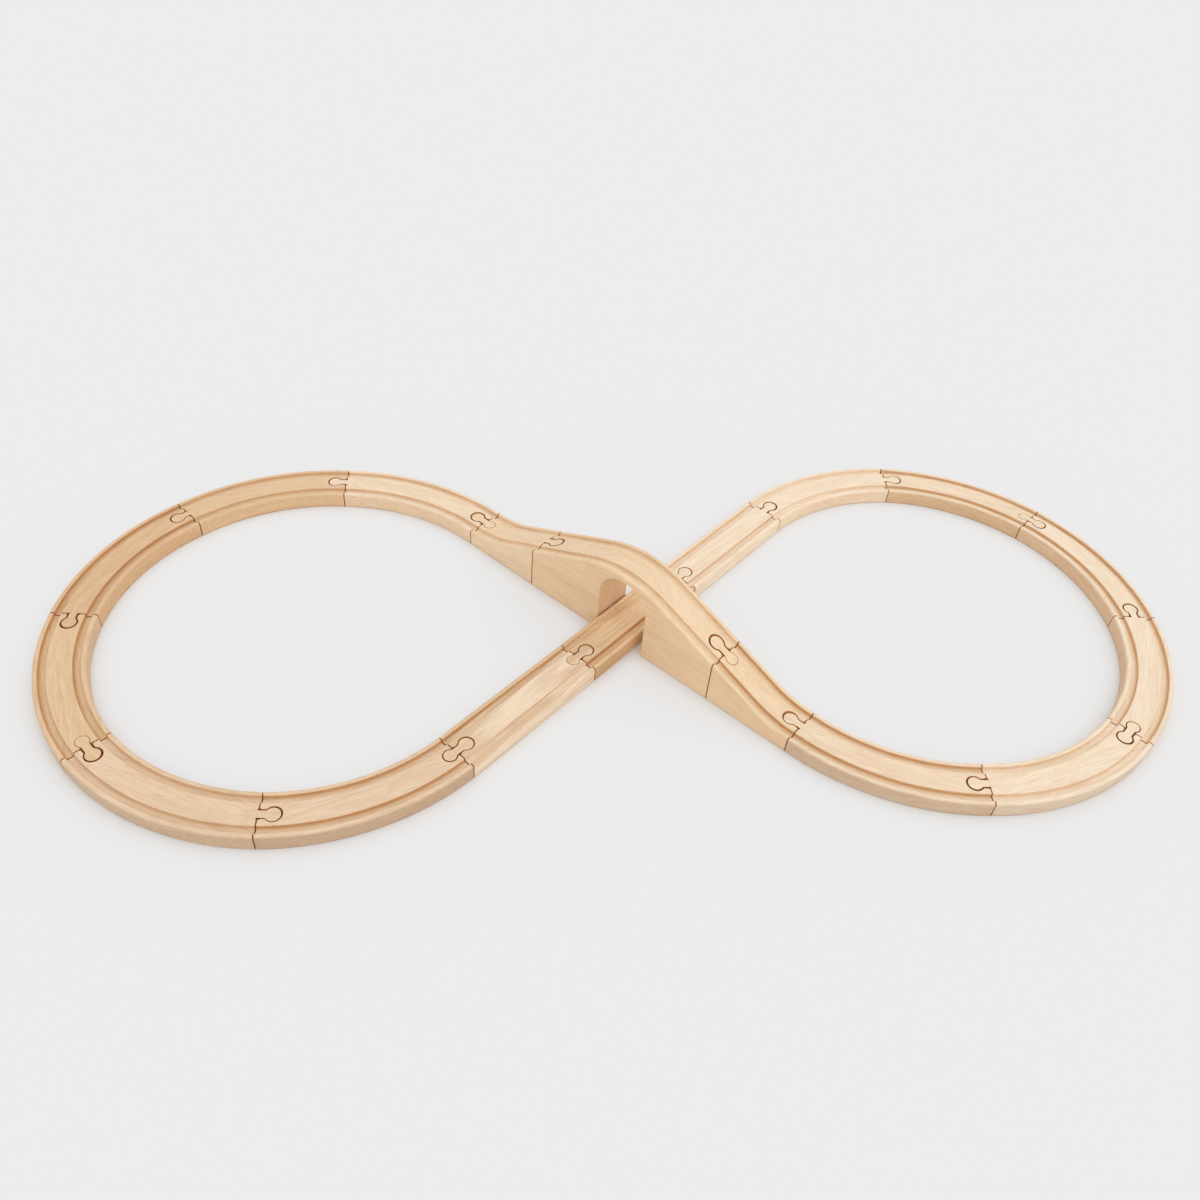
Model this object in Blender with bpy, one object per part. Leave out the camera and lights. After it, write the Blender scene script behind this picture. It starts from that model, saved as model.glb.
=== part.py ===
"""Wooden train track in a figure of eight, with a bridge where the two straight runs cross.

Metres, +Z up. The origin lies on the floor where the bridge crosses the centre straight, and +X runs
through the outermost joint of the right loop. Eighteen pieces are joined end to end by dog-bone pegs,
each glued into one piece with its running head in the socket of the next.
"""

import math
from typing import NamedTuple

import bmesh
import bpy
import numpy as np
from mathutils import Matrix

# Cross-section of the track
CENTRE_WIDTH = 0.020
GROOVE_WIDTH = 0.006
RIDGE_WIDTH = 0.004
GROOVE_DEPTH = 0.003
TRACK_THICKNESS = 0.015
EDGE_RADIUS = 0.002

# Lengths along the middle line, from joint to joint
STRAIGHT_LENGTH = 0.140
CURVE_RADIUS = 0.195
RAMP_LENGTH = 0.080
ARCH_LENGTH = 0.200

# Number of curves in each loop, which turns three quarters of a circle
CURVES_PER_LOOP = 6
LOOP_TURN = math.radians(270)

# Bridge: deck height at the crest, the arcs at the ramp's foot and at the crest, and the tunnel, which
# stands a little nearer to the near ramp than the middle of the arch
CREST_HEIGHT = 0.075
FOOT_RADIUS = 0.100
CREST_RADIUS = 0.100
TUNNEL_ROOF = 0.003
TUNNEL_CLEARANCE = 0.005
TUNNEL_SHIFT = -0.0038

# Dog-bone pegs: reaches run from the joint to the middle of a round head
RUNNING_HEAD_RADIUS = 0.0060
RUNNING_HEAD_REACH = 0.0105
GLUED_HEAD_RADIUS = 0.0052
GLUED_HEAD_REACH = 0.0058
NECK_WIDTH = 0.0065
NECK_FILLET = 0.0025
RAISED_PEG_HEIGHT = 0.015

# Fits: least gap at a seam, play round a running head, glue line, and a peg's step below the deck
SEAM_GAP = 0.0005
SOCKET_PLAY = 0.0007
GLUE_GAP = 0.0003
PEG_RECESS = 0.0002

# Fineness of the curved faces
EDGE_STEPS = 3
CURVE_STEPS = 10
RAMP_STEPS = 8
ARCH_STEPS = 16
TUNNEL_STEPS = 12
HEAD_STEPS = 12
FILLET_STEPS = 2
CLOSING_ROUNDS = 8

# How far a cutter runs past the wood
OVERSHOOT = 0.002

# Clear-finished beech
BEECH_STRAIGHT = (0.80, 0.58, 0.38)
BEECH_RIGHT = (0.84, 0.63, 0.43)
BEECH_LEFT = (0.74, 0.51, 0.31)
BEECH_BRIDGE = (0.79, 0.56, 0.35)
BEECH_PEG = (0.77, 0.55, 0.34)
BEECH_ROUGHNESS = 0.45

TRACK_WIDTH = CENTRE_WIDTH + 2 * (GROOVE_WIDTH + RIDGE_WIDTH)
CURVE_ANGLE = LOOP_TURN / CURVES_PER_LOOP
BRIDGE_HALF = RAMP_LENGTH + ARCH_LENGTH / 2
TUNNEL_HEIGHT = CREST_HEIGHT - GROOVE_DEPTH - TUNNEL_ROOF
LEFT, STRAIGHT, RIGHT = 1, 0, -1


class Piece(NamedTuple):
    """One length of track, with the side it turns to and, on the bridge, where along it the piece starts."""

    name: str
    length: float
    turn: int
    steps: int
    colour: tuple
    bridge_start: float | None = None


class Pose(NamedTuple):
    """A place on the floor and the way the track runs there."""

    x: float
    y: float
    heading: float


def loop(name, turn, colour):
    """The curves of one loop, in the order they are laid."""
    length = CURVE_RADIUS * CURVE_ANGLE
    return [Piece(f"{name}_{i + 1}", length, turn, CURVE_STEPS, colour) for i in range(CURVES_PER_LOOP)]


def ring():
    """Every piece in the order a train meets it."""
    straights = [
        Piece(f"straight_{where}", STRAIGHT_LENGTH, STRAIGHT, 1, BEECH_STRAIGHT)
        for where in ("near", "centre", "far")
    ]
    bridge = [
        Piece("ramp_near", RAMP_LENGTH, STRAIGHT, RAMP_STEPS, BEECH_BRIDGE, 0.0),
        Piece("bridge_arch", ARCH_LENGTH, STRAIGHT, ARCH_STEPS, BEECH_BRIDGE, RAMP_LENGTH),
        Piece("ramp_far", RAMP_LENGTH, STRAIGHT, RAMP_STEPS, BEECH_BRIDGE, RAMP_LENGTH + ARCH_LENGTH),
    ]
    return straights + loop("curve_right", RIGHT, BEECH_RIGHT) + bridge + loop("curve_left", LEFT, BEECH_LEFT)


def end_of(piece):
    """The pose of a piece's far end in the frame of its near end."""
    if piece.turn == STRAIGHT:
        return Pose(piece.length, 0.0, 0.0)
    return Pose(
        CURVE_RADIUS * math.sin(CURVE_ANGLE),
        piece.turn * CURVE_RADIUS * (1 - math.cos(CURVE_ANGLE)),
        piece.turn * CURVE_ANGLE,
    )


def compose(base, step):
    """The pose that step describes when it is taken from base."""
    cos, sin = math.cos(base.heading), math.sin(base.heading)
    x = base.x + cos * step.x - sin * step.y
    y = base.y + sin * step.x + cos * step.y
    return Pose(x, y, base.heading + step.heading)


def starts_of(pieces, swivels):
    """The pose where each piece starts and, last, where the ring comes back to."""
    starts = [Pose(0.0, 0.0, 0.0)]
    for piece, swivel in zip(pieces, swivels):
        end = compose(starts[-1], end_of(piece))
        starts.append(end._replace(heading=end.heading + swivel))
    return starts


def closing_swivels(pieces):
    """The least turns in the joints, by sum of squares, that bring the ring's end back to its start.

    The run under the bridge is longer than the run over it, and the joints' play takes up the difference.
    """
    swivels = np.zeros(len(pieces))
    for _ in range(CLOSING_ROUNDS):
        joints = starts_of(pieces, swivels)[1:]
        end = joints[-1]
        moves = np.array([(joint.y - end.y, end.x - joint.x, 1.0) for joint in joints]).T
        swivels = moves.T @ np.linalg.solve(moves @ moves.T, moves @ swivels - np.array(end))
    return swivels


def deck_height(along):
    """Height of the bridge's deck at a distance along it: an arc at the foot, a slope, an arc at the crest."""
    run = max(BRIDGE_HALF - abs(along - BRIDGE_HALF), 0.0)
    rise = CREST_HEIGHT - TRACK_THICKNESS
    radii = FOOT_RADIUS + CREST_RADIUS
    slope = math.atan2(rise - radii, BRIDGE_HALF) + math.asin(radii / math.hypot(BRIDGE_HALF, rise - radii))
    foot_run = FOOT_RADIUS * math.sin(slope)
    from_crest = BRIDGE_HALF - run
    if run < foot_run:
        return TRACK_THICKNESS + FOOT_RADIUS - math.sqrt(FOOT_RADIUS**2 - run**2)
    if from_crest < CREST_RADIUS * math.sin(slope):
        return CREST_HEIGHT - CREST_RADIUS + math.sqrt(CREST_RADIUS**2 - from_crest**2)
    foot_rise = FOOT_RADIUS * (1 - math.cos(slope))
    return TRACK_THICKNESS + foot_rise + (run - foot_run) * math.tan(slope)


def arc(centre, radius, first, last, steps):
    """Points along an arc from the first angle to the last."""
    angles = np.linspace(first, last, steps + 1)
    return [(centre[0] + radius * math.cos(a), centre[1] + radius * math.sin(a)) for a in angles]


def section():
    """The track's outline seen along it, with round top edges and two wheel grooves."""
    edge = TRACK_WIDTH / 2
    top = TRACK_THICKNESS
    groove_out = CENTRE_WIDTH / 2 + GROOVE_WIDTH
    groove_in = CENTRE_WIDTH / 2
    groove_floor = top - GROOVE_DEPTH
    rounding = arc((edge - EDGE_RADIUS, top - EDGE_RADIUS), EDGE_RADIUS, 0.0, math.pi / 2, EDGE_STEPS)
    groove = [(groove_out, top), (groove_out, groove_floor), (groove_in, groove_floor), (groove_in, top)]
    half = [(edge, 0.0)] + rounding + groove
    return half + [(-y, z) for y, z in reversed(half)]


def peg_half(radius, reach, grow):
    """One half of a peg's plan, from the neck's right side round the head to its left side."""
    neck = NECK_WIDTH / 2
    fillet_y = neck + NECK_FILLET
    fillet_x = reach - math.sqrt((radius + NECK_FILLET) ** 2 - fillet_y**2)
    meet = math.atan2(fillet_y, fillet_x - reach)
    head = arc((reach, 0.0), radius + grow, -meet, meet, HEAD_STEPS)
    hollow = arc((fillet_x, -fillet_y), NECK_FILLET - grow, math.pi / 2, math.pi - meet, FILLET_STEPS)
    return hollow[:-1] + head + [(x, -y) for x, y in reversed(hollow[:-1])]


def peg_outline(grow=0.0):
    """A peg's plan about its joint, the running head towards +X and all sides moved out by grow."""
    running = peg_half(RUNNING_HEAD_RADIUS, RUNNING_HEAD_REACH, grow)
    glued = peg_half(GLUED_HEAD_RADIUS, GLUED_HEAD_REACH, grow)
    return running + [(-x, -y) for x, y in glued]


def closed_object(name, bm):
    """A new object from a closed bmesh, with its faces pointing out."""
    bmesh.ops.recalc_face_normals(bm, faces=bm.faces)
    mesh = bpy.data.meshes.new(name)
    bm.to_mesh(mesh)
    bm.free()
    made = bpy.data.objects.new(name, mesh)
    bpy.context.scene.collection.objects.link(made)
    return made


def raise_face(bm, face, move):
    """Extrudes a face, moves the new one and returns it."""
    made = bmesh.ops.extrude_face_region(bm, geom=[face, *face.edges, *face.verts])["geom"]
    bmesh.ops.translate(bm, verts=[v for v in made if isinstance(v, bmesh.types.BMVert)], vec=move)
    return next(f for f in made if isinstance(f, bmesh.types.BMFace))


def prism(name, outline, floor, roof):
    """An upright prism on a plan, whose top follows roof, a function of the distance along X."""
    bm = bmesh.new()
    base = bm.faces.new([bm.verts.new((x, y, floor)) for x, y in outline])
    lid = raise_face(bm, base, (0.0, 0.0, OVERSHOOT))
    for vert in lid.verts:
        vert.co.z = roof(vert.co.x)
    return closed_object(name, bm)


def sweep_straight(piece, setback):
    """A straight length of track, lifted to the deck's height where it is part of the bridge."""
    bm = bmesh.new()
    face = bm.faces.new([bm.verts.new((setback, y, z)) for y, z in section()])
    step = (piece.length - 2 * setback) / piece.steps
    for _ in range(piece.steps):
        face = raise_face(bm, face, (step, 0.0, 0.0))
    if piece.bridge_start is not None:
        for vert in bm.verts:
            if vert.co.z > 0.0:
                vert.co.z += deck_height(piece.bridge_start + vert.co.x) - TRACK_THICKNESS
    return closed_object(piece.name, bm)


def sweep_curve(piece, setback):
    """A curved length of track, its section spun about the middle of the curve."""
    bm = bmesh.new()
    face = bm.faces.new([bm.verts.new((0.0, y, z)) for y, z in section()])
    middle = (0.0, piece.turn * CURVE_RADIUS, 0.0)
    first = piece.turn * setback / CURVE_RADIUS
    bmesh.ops.spin(
        bm,
        geom=[face],
        cent=middle,
        axis=(0.0, 0.0, 1.0),
        angle=piece.turn * CURVE_ANGLE - 2 * first,
        steps=piece.steps,
        use_duplicate=False,
    )
    bmesh.ops.rotate(bm, verts=bm.verts, cent=middle, matrix=Matrix.Rotation(first, 3, "Z"))
    return closed_object(piece.name, bm)


def cut(target, cutter):
    """Takes a cutter's shape out of a piece."""
    cutter.parent = target
    cutter.hide_render = True
    cutter.display_type = "WIRE"
    boolean = target.modifiers.new(cutter.name, "BOOLEAN")
    boolean.operation = "DIFFERENCE"
    boolean.solver = "EXACT"
    boolean.object = cutter


def beech(name, colour):
    """A clear-finished beech."""
    material = bpy.data.materials.new(name)
    material.use_nodes = True
    shader = material.node_tree.nodes["Principled BSDF"]
    shader.inputs["Base Color"].default_value = (*colour, 1.0)
    shader.inputs["Roughness"].default_value = BEECH_ROUGHNESS
    shader.inputs["Metallic"].default_value = 0.0
    return material


def place(made, parent, pose):
    """Parents an object and stands it at a pose in its parent's frame."""
    made.parent = parent
    made.location = (pose.x, pose.y, 0.0)
    made.rotation_euler = (0.0, 0.0, pose.heading)


class Joint(NamedTuple):
    """A joint of the ring: who holds the peg, who has the socket, and where it is in each one's frame.

    The way is 1 where the running head points along the ring and -1 where it points back.
    """

    name: str
    owner: Piece
    owner_pose: Pose
    neighbour: Piece
    neighbour_pose: Pose
    bridge_place: float | None
    way: int


def joints_of(pieces):
    """Every joint of the ring. A piece holds the peg at its far end, but for two with a socket at each end.

    After the arch, and after the middle curve of the right loop, the piece that follows holds the peg.
    """
    turned = ("bridge_arch", f"curve_right_{CURVES_PER_LOOP // 2}")
    start = Pose(0.0, 0.0, 0.0)
    about = Pose(0.0, 0.0, math.pi)
    joints = []
    for piece, after in zip(pieces, pieces[1:] + pieces[:1]):
        raised = piece.bridge_start is not None and after.bridge_start is not None
        place_along = after.bridge_start if raised else None
        end = end_of(piece)
        if piece.name in turned:
            name = f"peg_{after.name}_back"
            joints.append(Joint(name, after, about, piece, compose(end, about), place_along, -1))
        else:
            joints.append(Joint(f"peg_{piece.name}", piece, end, after, start, place_along, 1))
    return joints


def make_joint(joint, tracks, play):
    """A joint's peg, the pocket it is glued into and the socket for its running head."""
    cutter_roof = CREST_HEIGHT + OVERSHOOT

    def deck(x):
        raised = joint.bridge_place is not None
        return (deck_height(joint.bridge_place + joint.way * x) if raised else TRACK_THICKNESS) - PEG_RECESS

    if joint.bridge_place is None:
        floor, pocket_floor = GLUE_GAP, -OVERSHOOT
    else:
        floor = deck_height(joint.bridge_place) - RAISED_PEG_HEIGHT
        pocket_floor = floor - GLUE_GAP
    peg = prism(joint.name, peg_outline(), floor, deck)
    peg.data.materials.append(beech(joint.name, BEECH_PEG))
    place(peg, tracks[joint.owner.name], joint.owner_pose)
    for part, piece, pose, gap in (
        ("pocket", joint.owner, joint.owner_pose, GLUE_GAP),
        ("socket", joint.neighbour, joint.neighbour_pose, play),
    ):
        cutter = prism(f"{joint.name}_{part}", peg_outline(gap), pocket_floor, lambda x: cutter_roof)
        cut(tracks[piece.name], cutter)
        place(cutter, tracks[piece.name], pose)


def make_tunnel(arch, crossing):
    """Cuts the tunnel through the arch, wide enough for the track that crosses under it at an angle."""
    half_track = TRACK_WIDTH / 2
    reach = half_track / abs(math.sin(crossing)) + half_track / abs(math.tan(crossing))
    half = reach + TUNNEL_CLEARANCE
    middle = ARCH_LENGTH / 2 + TUNNEL_SHIFT
    crown = arc((middle, TUNNEL_HEIGHT - half), half, 0.0, math.pi, TUNNEL_STEPS)
    outline = [(middle - half, -OVERSHOOT), (middle + half, -OVERSHOOT)] + crown
    side = half_track + OVERSHOOT
    bm = bmesh.new()
    face = bm.faces.new([bm.verts.new((x, -side, z)) for x, z in outline])
    raise_face(bm, face, (0.0, 2 * side, 0.0))
    cut(arch, closed_object("tunnel_cutter", bm))


def make_layout(pieces, starts):
    """The empty that carries the ring, set so that the crossing is the origin and the loops lie along X."""
    names = [piece.name for piece in pieces]
    centre = names.index("straight_centre")
    outermost = starts[names.index(f"curve_right_{CURVES_PER_LOOP // 2}") + 1]
    crossing = compose(starts[centre], Pose(STRAIGHT_LENGTH / 2, 0.0, 0.0))
    turn = math.atan2(outermost.y - crossing.y, outermost.x - crossing.x)
    corner = compose(Pose(0.0, 0.0, -turn), Pose(-crossing.x, -crossing.y, 0.0))
    layout = bpy.data.objects.new("layout", None)
    bpy.context.scene.collection.objects.link(layout)
    place(layout, None, corner)
    return layout


def main():
    """Clears the scene and lays the track."""
    for old in list(bpy.data.objects):
        bpy.data.objects.remove(old)
    pieces = ring()
    swivels = closing_swivels(pieces)
    starts = starts_of(pieces, swivels)
    loosest = max(abs(swivels))
    setback = (SEAM_GAP + loosest * TRACK_WIDTH / 2) / 2
    play = SOCKET_PLAY + loosest * RUNNING_HEAD_REACH
    layout = make_layout(pieces, starts)
    tracks = {}
    for piece, start in zip(pieces, starts):
        sweep = sweep_straight if piece.turn == STRAIGHT else sweep_curve
        track = sweep(piece, setback)
        track.data.materials.append(beech(piece.name, piece.colour))
        place(track, layout, start)
        tracks[piece.name] = track
    headings = {piece.name: start.heading for piece, start in zip(pieces, starts)}
    make_tunnel(tracks["bridge_arch"], headings["bridge_arch"] - headings["straight_centre"])
    for joint in joints_of(pieces):
        make_joint(joint, tracks, play)


main()
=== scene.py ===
"""Looks of the wooden train track: smooth beech tracks and pegs, a pale floor, soft light and the camera.

Metres, +Z up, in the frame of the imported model. A track is modelled in its own frame, with its start joint at
the origin and the rails along +X, then moved to its place in the figure of eight. Each piece stands for the
solid of the same name and rides with the body that holds it.
"""

from __future__ import annotations

import logging
import math
import random
from dataclasses import dataclass
from enum import Enum
from typing import Any, Callable, Iterable, NamedTuple, Sequence, Union

import bmesh
import bpy
import numpy as np
from mathutils import Matrix, Vector

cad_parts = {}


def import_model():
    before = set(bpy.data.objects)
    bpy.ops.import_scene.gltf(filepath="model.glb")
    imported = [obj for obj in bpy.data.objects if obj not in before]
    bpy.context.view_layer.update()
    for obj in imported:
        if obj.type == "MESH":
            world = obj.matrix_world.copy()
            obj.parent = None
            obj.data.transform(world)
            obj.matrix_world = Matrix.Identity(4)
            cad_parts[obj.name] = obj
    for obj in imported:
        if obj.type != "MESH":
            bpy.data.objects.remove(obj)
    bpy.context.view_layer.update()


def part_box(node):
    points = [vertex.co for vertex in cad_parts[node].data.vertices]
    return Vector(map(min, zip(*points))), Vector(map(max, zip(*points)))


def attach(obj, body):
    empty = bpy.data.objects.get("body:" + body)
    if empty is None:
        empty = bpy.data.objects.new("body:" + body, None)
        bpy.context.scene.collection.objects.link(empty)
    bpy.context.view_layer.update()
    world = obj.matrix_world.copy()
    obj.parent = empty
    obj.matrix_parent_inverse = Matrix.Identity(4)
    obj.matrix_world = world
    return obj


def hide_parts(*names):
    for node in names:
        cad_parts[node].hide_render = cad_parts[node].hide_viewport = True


log = logging.getLogger("train_track")

Point = tuple[float, float]
Colour = tuple[float, float, float]
Plan = Callable[[float], list[Point]]

# Mesh attributes: a face's own end-grain tone and painted light, then the tone and painted light at each
# corner, and the share of the side at each corner
FACE_TONE_AND_SHADE = "sawn"
TONE_AND_SHADE = "deepness"
FLANK = "flank"

# Painted highlight on the pegs' rounded rims, the deeper tone of end grain, and painted shade on the rims of
# holes and in the seams
RIM_HIGHLIGHT = -0.3
END_GRAIN = 0.25
RIM_SHADE = 0.6
SEAM_SHADE = 1.0

# How far a cutter stands out, how near its joint an end is turned, and what is too thin for a face
OVERSHOOT = 0.002
END_ZONE = 0.002
SLIVER = 2e-6

# An edge that turns by more stays sharp
SHARP_ANGLE = math.radians(32)


class Pose(NamedTuple):
    """A place on the floor and the way the track runs there."""

    x: float
    y: float
    heading: float

    def then(self, step: Pose) -> Pose:
        """The pose that a step describes when it is taken from this one."""
        cos, sin = math.cos(self.heading), math.sin(self.heading)
        x = self.x + cos * step.x - sin * step.y
        y = self.y + sin * step.x + cos * step.y
        return Pose(x, y, self.heading + step.heading)

    def matrix(self) -> Matrix:
        """The transform from this pose's frame to the frame it is given in."""
        return Matrix.Translation((self.x, self.y, 0.0)) @ Matrix.Rotation(self.heading, 4, "Z")


ORIGIN = Pose(0.0, 0.0, 0.0)
ABOUT_TURN = Pose(0.0, 0.0, math.pi)


def arc(centre: Point, radius: float, first: float, last: float, steps: int) -> list[Point]:
    """Points along an arc.

    Args:
        centre: Middle of the arc.
        radius: Radius of the arc.
        first: Angle of the first point.
        last: Angle of the last point.
        steps: Number of chords.

    Returns:
        The points, both ends among them.
    """
    angles = np.linspace(first, last, steps + 1)
    return [(centre[0] + radius * math.cos(a), centre[1] + radius * math.sin(a)) for a in angles]


def link_mesh(name: str, bm: bmesh.types.BMesh) -> bpy.types.Object:
    """Makes an object of a closed bmesh, with its faces pointing out.

    Args:
        name: Name of the object and its mesh.
        bm: The bmesh, which is freed.

    Returns:
        The new object, in the scene.
    """
    bmesh.ops.recalc_face_normals(bm, faces=bm.faces)
    mesh = bpy.data.meshes.new(name)
    bm.to_mesh(mesh)
    bm.free()
    made = bpy.data.objects.new(name, mesh)
    bpy.context.scene.collection.objects.link(made)
    return made


def settle(made: bpy.types.Object) -> None:
    """Turns an object's modifiers into plain mesh."""
    graph = bpy.context.evaluated_depsgraph_get()
    mesh = bpy.data.meshes.new_from_object(made.evaluated_get(graph))
    made.modifiers.clear()
    made.data = mesh


def cut(target: bpy.types.Object, cutters: Sequence[bpy.types.Object]) -> None:
    """Takes the cutters' shapes out of a piece, then removes the cutters and the slivers they left.

    Args:
        target: The piece.
        cutters: Closed objects in the piece's frame.
    """
    for cutter in cutters:
        boolean = target.modifiers.new(cutter.name, "BOOLEAN")
        boolean.operation = "DIFFERENCE"
        boolean.solver = "EXACT"
        boolean.object = cutter
    settle(target)
    for cutter in cutters:
        bpy.data.objects.remove(cutter)
    bm = bmesh.new()
    bm.from_mesh(target.data)
    bmesh.ops.dissolve_degenerate(bm, dist=SLIVER, edges=bm.edges)
    bm.to_mesh(target.data)
    bm.free()


def smooth(made: bpy.types.Object) -> None:
    """Shades a piece smooth between its sharp edges, with its flat faces kept flat."""
    for polygon in made.data.polygons:
        polygon.use_smooth = True
    made.data.set_sharp_from_angle(angle=SHARP_ANGLE)
    weighted = made.modifiers.new("flat_faces", "WEIGHTED_NORMAL")
    weighted.keep_sharp = True
    settle(made)


def loft(name: str, rings: Sequence[Sequence[Vector]], sawn: Sequence[float]) -> bpy.types.Object:
    """Extrudes a ring of points through further rings of as many points.

    Args:
        name: Name of the object.
        rings: The rings, from the first cap to the last.
        sawn: The end-grain tone and painted shade of each band between two rings.

    Returns:
        The closed object.
    """
    bm = bmesh.new()
    layer = bm.faces.layers.float.new(FACE_TONE_AND_SHADE)
    face = bm.faces.new([bm.verts.new(point) for point in rings[0]])
    for ring, deepness in zip(rings[1:], sawn):
        old = list(face.verts)
        made = bmesh.ops.extrude_face_region(bm, geom=[face, *face.edges, *face.verts])["geom"]
        face = next(part for part in made if isinstance(part, bmesh.types.BMFace))
        matched = {tuple(vert.co): point for vert, point in zip(old, ring)}
        for vert in face.verts:
            vert.co = matched[tuple(vert.co)]
        for band in {side for edge in face.edges for side in edge.link_faces} - {face}:
            band[layer] = deepness
    return link_mesh(name, bm)


def caps_of(bm: bmesh.types.BMesh) -> list[bmesh.types.BMFace]:
    """The two end faces of a swept or lofted shape, whose other faces all have four sides."""
    return [face for face in bm.faces if len(face.verts) > 4]


def mark(made: bpy.types.Object, deepness: Sequence[float], flank: Sequence[float]) -> None:
    """Writes what the finish needs to know of the surface, for each corner of each face.

    Args:
        made: The piece, some of whose faces have their own tone and painted light.
        deepness: The painted shade at each point, on the other faces.
        flank: How far each point belongs to a side of the track.
    """
    mesh = made.data
    points = [loop.vertex_index for loop in mesh.loops]
    sawn = np.zeros(len(mesh.loops))
    for polygon, own in zip(mesh.polygons, mesh.attributes[FACE_TONE_AND_SHADE].data):
        sawn[list(polygon.loop_indices)] = own.value
    plain = sawn == 0.0
    corners = np.where(plain, np.array(deepness)[points], sawn)
    mesh.attributes.new(TONE_AND_SHADE, "FLOAT", "CORNER").data.foreach_set("value", corners)
    mesh.attributes.new(FLANK, "FLOAT", "CORNER").data.foreach_set("value", plain * np.array(flank)[points])


class Rounded(Enum):
    """What a rounding is made on."""

    EDGES = "EDGES"
    CORNERS = "VERTICES"


def bevel(
    bm: bmesh.types.BMesh,
    geom: Iterable[bmesh.types.BMEdge | bmesh.types.BMVert],
    offset: float,
    segments: int,
    affect: Rounded,
) -> None:
    """Rounds edges or corners.

    Args:
        bm: The bmesh.
        geom: The edges, or the corners of a flat face.
        offset: Radius of the rounding at a right angle.
        segments: Number of steps round it.
        affect: Which of the two they are.
    """
    bmesh.ops.bevel(
        bm,
        geom=list(geom),
        offset=offset,
        offset_type="OFFSET",
        segments=segments,
        profile=0.5,
        affect=affect.value,
        clamp_overlap=True,
        material=-1,
    )


@dataclass(frozen=True)
class Section:
    """The track's cross-section, the same on every piece."""

    centre_width: float = 0.020
    groove_width: float = 0.006
    ridge_width: float = 0.004
    groove_depth: float = 0.003
    thickness: float = 0.015
    edge_radius: float = 0.002
    lip_radius: float = 0.0009
    groove_fillet: float = 0.0009
    foot_radius: float = 0.0011
    edge_steps: int = 6
    lip_steps: int = 4
    fillet_steps: int = 6
    foot_steps: int = 3
    # Painted shade at the foot of the groove walls, fading away from each wall
    wall_shade: float = 0.52
    wall_reach: float = 0.0017
    # Painted contact shade on the rounding at the track's foot
    foot_shade: float = 0.35
    foot_shade_band: tuple[float, float] = (0.05, 0.90)

    @property
    def width(self) -> float:
        """The whole width of the track."""
        return self.centre_width + 2 * (self.groove_width + self.ridge_width)

    @property
    def groove_in(self) -> float:
        """From the middle line to a groove's inner wall."""
        return self.centre_width / 2

    @property
    def groove_out(self) -> float:
        """From the middle line to a groove's outer wall."""
        return self.groove_in + self.groove_width

    def draw(self, bm: bmesh.types.BMesh, along: float) -> bmesh.types.BMFace:
        """Draws the section across the track, with its corners rounded.

        Args:
            bm: The bmesh to draw in.
            along: Distance from the start joint.

        Returns:
            The section's face.
        """
        top, floor, edge = self.thickness, self.thickness - self.groove_depth, self.width / 2
        corners = [
            (edge, 0.0, self.foot_radius, self.foot_steps),
            (edge, top, self.edge_radius, self.edge_steps),
            (self.groove_out, top, self.lip_radius, self.lip_steps),
            (self.groove_out, floor, self.groove_fillet, self.fillet_steps),
            ((self.groove_out + self.groove_in) / 2, floor, 0.0, 0),
            (self.groove_in, floor, self.groove_fillet, self.fillet_steps),
            (self.groove_in, top, self.lip_radius, self.lip_steps),
        ]
        corners += [(-y, z, radius, steps) for y, z, radius, steps in reversed(corners)]
        verts = [bm.verts.new((along, y, z)) for y, z, _, _ in corners]
        bm.faces.new(verts)
        for vert, (_, _, radius, steps) in zip(verts, corners):
            if steps:
                bevel(bm, [vert], radius, steps, Rounded.CORNERS)
        bm.faces.ensure_lookup_table()
        return bm.faces[0]

    def deepness(self, across: float, depth: float, groove: GrooveShade) -> float:
        """Painted shade in the grooves: 0 on the deck and most at the foot of a groove's walls.

        Args:
            across: Distance from the middle line, less than 0 on one side.
            depth: Distance below the deck.
            groove: How much painted shade each wall takes.

        Returns:
            The painted shade.
        """
        if not self.groove_in - self.lip_radius < abs(across) < self.groove_out + self.lip_radius:
            return 0.0
        walls = (self.groove_out, self.groove_in, -self.groove_in, -self.groove_out)
        near = (own * math.exp(-abs(across - y) / self.wall_reach) for y, own in zip(walls, groove.value))
        sunk = min(max(depth / self.groove_depth, 0.0), 1.0)
        return self.wall_shade * max(near) * math.sqrt(sunk)

    def foot(self, height: float) -> float:
        """Painted contact shade at a height above the floor: on the rounding at the foot alone."""
        low, high = self.foot_shade_band
        return self.foot_shade if low < height / self.foot_radius < high else 0.0

    def flank(self, across: float, depth: float) -> float:
        """How far a point belongs to a side of the track: 0 on the deck and 1 below the rounded edge."""
        outside = abs(across) > self.width / 2 - self.edge_radius
        return min(depth / self.edge_radius, 1.0) if outside else 0.0


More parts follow.
